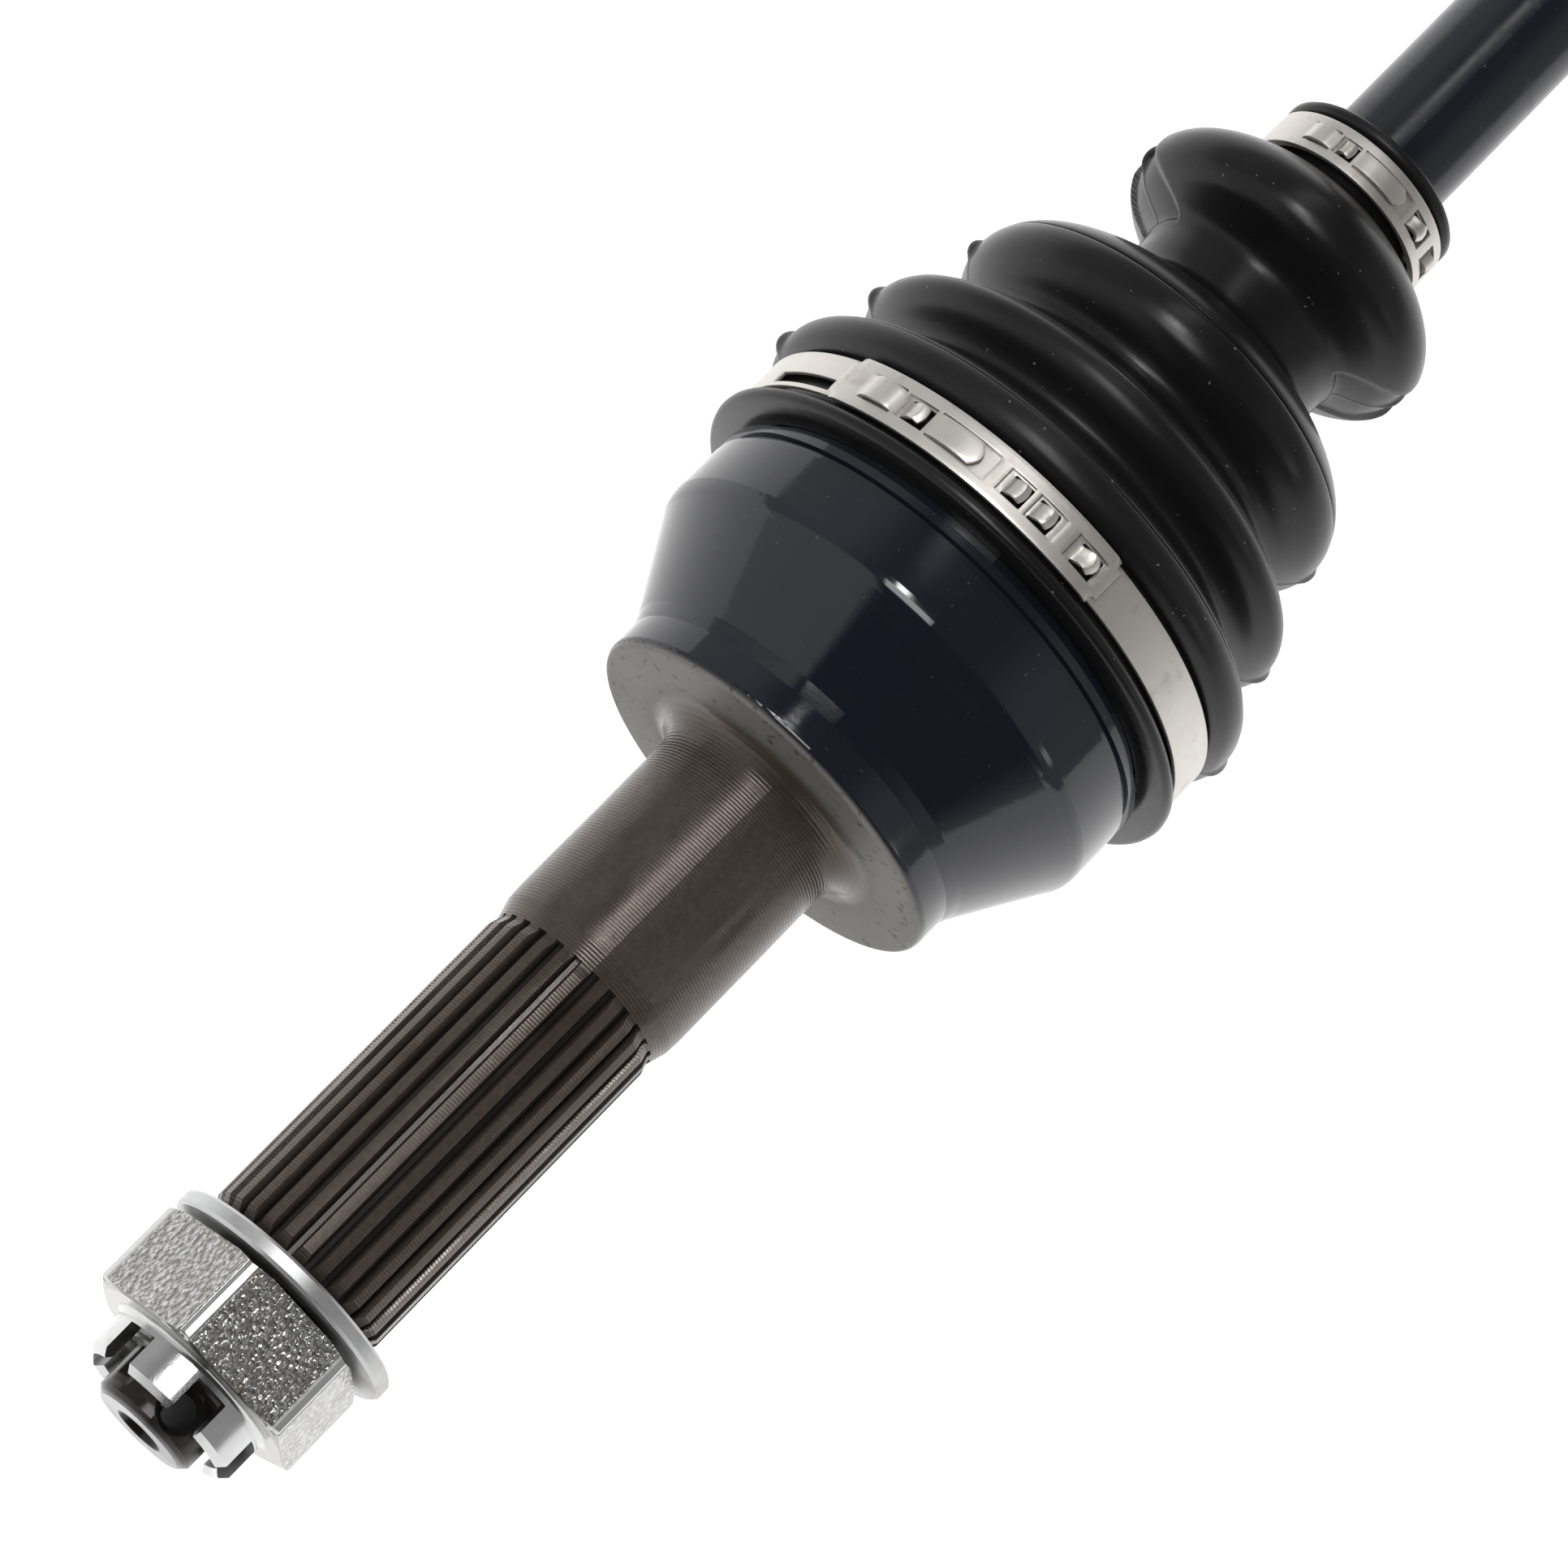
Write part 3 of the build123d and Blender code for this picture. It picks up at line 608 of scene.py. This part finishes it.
def make_inboard_boot():
    """In two pieces, a big end and a small end, that meet past the second fold."""
    whole = boot_mesh("inboard_bellows", inboard_mouth_x, -1)
    cut_x = inboard_mouth_x - 0.021
    big_half = split_mesh(whole, cut_x, True, "big_end")
    small_half = split_mesh(whole, cut_x, False, "small_end")
    big = new_piece("inboard_bellows_big_end", big_half, rubber_material)
    small = new_piece("inboard_bellows_small_end", small_half, rubber_material)
    bpy.data.meshes.remove(whole)
    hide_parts("inboard_boot")
    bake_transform(big)
    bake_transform(small)


make_outboard_boot()
make_inboard_boot()


# ---------------------------------------------------------------- clamps
def grid_lines(marks, step):
    """All the marks, with even steps of at most this size between them."""
    marks = sorted(set(round(m, 4) for m in marks))
    lines = [marks[0]]
    for low, high in zip(marks, marks[1:]):
        parts = max(1, int((high - low) / step + 0.999))
        lines += [low + (high - low) * (k + 1) / parts for k in range(parts)]
    return lines


def within(value, span):
    return span[0] - 1e-6 <= value <= span[1] + 1e-6


def make_strap(name, x, facing, radius, span, width, thickness, windows, tabs, trim=0.0):
    """A strip of steel wrapped round the axle. Angles in degrees, x in metres, the rest in millimetres.

    windows: (angles, across) rectangles left open. tabs: (angles, across, heights, round_end) strips
    inside them, whose height runs smoothly through the given values. trim chamfers the strip's ends."""
    closed = span[1] - span[0] >= 359.9
    half = width / 2
    turns = [*span, *(a for w in windows for a in w[0]), *(a for t in tabs for a in t[0])]
    across = [-half, half, 0.0, *(v for w in windows for v in w[1]), *(v for t in tabs for v in t[1])]
    if trim:
        across += [-half + trim, half - trim]
    us, vs = grid_lines(turns, 1.2), grid_lines(across, 0.7)
    tab_lines = {tab: smooth_curve([(h,) for h in tab[2]], 8) for tab in tabs}

    def tab_at(u, v):
        return next((t for t in tabs if within(u, t[0]) and within(v, t[1])), None)

    def place(u, v):
        height = 0.0
        tab = tab_at(u, v)
        if tab:
            (low, high), (near, far), _, round_end = tab
            line = tab_lines[tab]
            share = (u - low) / (high - low)
            height = line[min(int(share * (len(line) - 1) + 0.5), len(line) - 1)][0]
            off = (v - (near + far) / 2) / ((far - near) / 2)
            u -= (u - low) * round_end * off * off
        if trim and abs(v) > half - trim + 1e-6:
            inset = trim / radius * 57.3  # in degrees
            u = min(max(u, span[0] + inset), span[1] - inset)
        return round_point(x + facing * v * MM, (radius + height) * MM, u)

    bm = bmesh.new()
    grid = {}
    for i, u in enumerate(us[:-1] if closed else us):
        for j, v in enumerate(vs):
            grid[i, j] = bm.verts.new(place(u, v))
    for i in range(len(us) - 1):
        n = (i + 1) % (len(us) - 1) if closed else i + 1
        for j in range(len(vs) - 1):
            u, v = (us[i] + us[i + 1]) / 2, (vs[j] + vs[j + 1]) / 2
            open_here = any(within(u, w[0]) and within(v, w[1]) for w in windows)
            if not open_here or tab_at(u, v):
                corners = (grid[i, j], grid[n, j], grid[n, j + 1], grid[i, j + 1])
                bm.faces.new(corners if facing < 0 else corners[::-1])
    bmesh.ops.delete(bm, geom=[v for v in bm.verts if not v.link_faces], context="VERTS")
    mesh = bpy.data.meshes.new(name)
    bm.to_mesh(mesh)
    bm.free()
    strap = new_piece(name, mesh, clamp_material)
    solid = strap.modifiers.new("thickness", "SOLIDIFY")
    solid.thickness = thickness * MM
    solid.offset = -1
    edge = strap.modifiers.new("worn_edges", "BEVEL")
    edge.width = 0.11 * MM
    edge.segments = 2
    edge.limit_method = "ANGLE"
    edge.angle_limit = radians(40)
    apply_modifiers(strap)
    strap.data.shade_smooth()
    return strap


band_thickness = 0.62
big_radius, small_radius = 38.1, 13.1
big_width, small_width = 7.3, 5.9
tab_half, slit = 1.75, 0.35  # a tab's half width, and the slit on each side of it


def tab_window(low, high, gap_start=0.0, gap_end=0.0, half=tab_half):
    """The opening round a tab: a slit along each side and a gap at either end."""
    return ((low - gap_start, high + gap_end), (-half - slit, half + slit))


def make_big_clamp(end, mouth_x, facing, body):
    """The band with its pressed teeth, and the slotted plate that hooks over them."""
    x = mouth_x + facing * (-7.7 + big_width / 2) * MM
    across = (-tab_half, tab_half)
    narrow = (-1.3, 1.3)
    band = make_strap(
        f"{end}_big_clamp_band", x, facing, big_radius, (-180, 180), big_width - 0.8, band_thickness,
        windows=[
            ((-71.5, -52.0), (-2.5, -0.6)),
            ((-51.5, -49.5), (0.4, 2.0)),
            tab_window(-33.4, -28.6, 0, 0.8, 1.3),
            tab_window(9.6, 14.2, 0, 0.8, 1.3),
            tab_window(-8.2, -4.2, 0, 0.6, 1.3),
            tab_window(-1.6, 2.6, 0, 0.6, 1.3),
        ],
        tabs=[
            ((-33.4, -28.6), narrow, (0, 0.15, 0.75, 1.25, 1.3, 0.95), 0.12),
            ((9.6, 14.2), narrow, (0, 0.15, 0.8, 1.35, 1.4, 1.0), 0.25),
            ((-8.2, -4.2), narrow, (0, 0.2, 0.9, 1.3, 1.25, 0.9), 0.12),
            ((-1.6, 2.6), narrow, (0, 0.2, 0.9, 1.3, 1.25, 0.9), 0.12),
        ],
    )
    plate = make_strap(
        f"{end}_big_clamp_plate", x, facing, big_radius + band_thickness + 0.04, (-50.7, 18.2), big_width,
        band_thickness,
        windows=[
            tab_window(-43.5, -35.4),
            ((-34.6, -27.5), (-1.9, 1.9)),
            tab_window(-26.6, -15.0, 0, 2.7),
            ((-9.6, -3.6), (-1.9, 1.9)),
            ((-2.4, 4.6), (-1.9, 1.9)),
            ((7.6, 15.7), (-1.9, 1.9)),
        ],
        tabs=[
            ((-43.5, -35.4), across, (0, 0.45, 0.75, 0.75, 0.75, 0.75, 0.45, 0), 0.0),
            ((-26.6, -15.0), across, (0, 0.25, 0.4, 0.5, 0.55, 0.55, 0.5, 0.4), 0.13),
        ],
        trim=1.2,
    )
    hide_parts(f"{end}_boot_big_clamp")
    for piece in (band, plate):
        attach(piece, body)


def make_small_clamp(end, mouth_x, facing):
    """The same clamp wound tighter: its plate covers half the turn."""
    x = mouth_x + facing * (70.6 + small_width / 2) * MM
    across, narrow = (-1.35, 1.35), (-1.0, 1.0)
    band = make_strap(
        f"{end}_small_clamp_band", x, facing, small_radius, (-180, 180), small_width - 0.6, band_thickness,
        windows=[
            tab_window(-26, -17, 0, 2, 1.0),
            tab_window(32, 45, 0, 3, 1.0),
            tab_window(60, 71, 0, 3, 1.0),
        ],
        tabs=[
            ((-26, -17), narrow, (0, 0.15, 0.7, 1.1, 1.1, 0.8), 0.12),
            ((32, 45), narrow, (0, 0.15, 0.75, 1.2, 1.25, 0.9), 0.2),
            ((60, 71), narrow, (0, 0.15, 0.75, 1.2, 1.2, 0.8), 0.12),
        ],
    )
    plate = make_strap(
        f"{end}_small_clamp_plate", x, facing, small_radius + band_thickness + 0.03, (-86, 90), small_width,
        band_thickness,
        windows=[
            tab_window(-47, -29, 0, 0, 1.35),
            ((-27.4, -14.6), (-1.5, 1.5)),
            tab_window(-12.5, 21, 0, 6, 1.35),
            ((30, 49), (-1.5, 1.5)),
            ((57, 77), (-1.5, 1.5)),
        ],
        tabs=[
            ((-47, -29), across, (0, 0.35, 0.6, 0.6, 0.6, 0.35, 0), 0.0),
            ((-12.5, 21), across, (0, 0.2, 0.35, 0.4, 0.45, 0.45, 0.4, 0.3), 0.13),
        ],
        trim=1.0,
    )
    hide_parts(f"{end}_boot_small_clamp")
    for piece in (band, plate):
        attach(piece, "shaft")


make_big_clamp("outboard", outboard_mouth_x, 1, "outboard_cup")
make_small_clamp("outboard", outboard_mouth_x, 1)
make_big_clamp("inboard", inboard_mouth_x, -1, "inboard_housing")
make_small_clamp("inboard", inboard_mouth_x, -1)


# ---------------------------------------------------------------- floor, light and camera
floor_z = cad_box[0][2] - 0.070  # low enough for the bent stubs to swing clear of it
strip_distance = 0.35  # from the axis to each strip light


def make_floor():
    mesh = bpy.data.meshes.new("floor")
    half = 6.0
    corners = [(-half, -half, 0), (half, -half, 0), (half, half, 0), (-half, half, 0)]
    mesh.from_pydata(corners, [], [(0, 1, 2, 3)])
    floor = bpy.data.objects.new("floor", mesh)
    floor.location.z = floor_z
    bpy.context.scene.collection.objects.link(floor)
    look = Look("pale_floor", Roughness=0.9, Emission_Color=(1, 1, 1, 1), Emission_Strength=0.35)
    look.set("Base Color", look.mix(look.noise(3.0), (0.90, 0.90, 0.90), (0.915, 0.915, 0.915)))
    paint(floor, look)


def make_world():
    """A pale room. What shines in it sees large soft boxes with dark gaps between them."""
    world = bpy.data.worlds.new("studio")
    bpy.context.scene.world = world
    world.use_nodes = True
    sky = Nodes(world.node_tree, "Generated")
    along = sky.axes()[0]
    round_about = sky.angle()
    bar_side = sky.plus(
        0.07,
        sky.times(sky.band(round_about, -0.42, -0.95), 0.42),
        sky.times(sky.band(round_about, 0.35, 0.95), sky.band(round_about, 1.95, 1.45), 0.30),
    )
    wheel_side = sky.plus(
        0.02,
        sky.times(sky.band(round_about, -0.48, -0.60), 0.76),
        sky.times(sky.band(round_about, 1.25, 1.75), 0.60),
    )
    shine = sky.mix(sky.band(along, -0.38, -0.26), wheel_side, bar_side)
    rays = sky.tree.nodes.new("ShaderNodeLightPath").outputs["Is Glossy Ray"]
    background = sky.tree.nodes["Background"]
    background.inputs[0].default_value = (1, 1, 1, 1)
    sky.wire(background.inputs[1], sky.mix(rays, 1.0, shine))


def strip_light(name, angle, x_span, width, radiance):
    """A long soft box beside the axle, at this angle round it: a line of light along everything round."""
    length = x_span[1] - x_span[0]
    light = bpy.data.lights.new(name, "AREA")
    light.shape = "RECTANGLE"
    light.size, light.size_y = length, width
    light.energy = radiance * pi * length * width
    obj = bpy.data.objects.new(name, light)
    bpy.context.scene.collection.objects.link(obj)
    middle = round_point((x_span[0] + x_span[1]) / 2, strip_distance, angle)
    obj.matrix_world = Matrix.Translation(middle) @ Matrix.Rotation(radians(angle), 4, "X")
    obj.visible_camera = False


make_floor()
make_world()
strip_light("wheel_end_strip", -17, (seat_x, seat_x + 0.10), 0.036, 26)
strip_light("cup_edge_strip", -14, (seat_x - 0.12, seat_x), 0.13, 6)
strip_light("low_strip", 70, (seat_x + 0.02, seat_x + 0.10), 0.045, 2)
strip_light("bar_end_strip", -20, (seat_x + 0.16, 0.6), 0.05, 3)

# The camera stands over the lying axle, a little towards its wheel end, and rolled so that the
# axle runs up to the right.
camera_tilt = radians(17.5)
camera_roll = radians(45.45)
camera_distance = 0.7349
frame_share = 3.6232  # focal length as a share of the frame's width
target = Vector((seat_x + 0.00396, -0.00073, 0))

camera_data = bpy.data.cameras.new("camera")
camera_data.sensor_width = 36
camera_data.lens = 36 * frame_share
camera_data.clip_start = 0.01
camera_data.dof.use_dof = False
camera = bpy.data.objects.new("camera", camera_data)
bpy.context.scene.collection.objects.link(camera)
along = Vector((cos(camera_tilt), 0, sin(camera_tilt)))
towards = Vector((-sin(camera_tilt), 0, cos(camera_tilt)))
across = Vector((0, 1, 0))
right = along * cos(camera_roll) - across * sin(camera_roll)
up = along * sin(camera_roll) + across * cos(camera_roll)
turn = Matrix((right, up, towards)).transposed()
camera.matrix_world = Matrix.Translation(target + towards * camera_distance) @ turn.to_4x4()
bpy.context.scene.camera = camera

bpy.context.scene.view_settings.view_transform = "Standard"
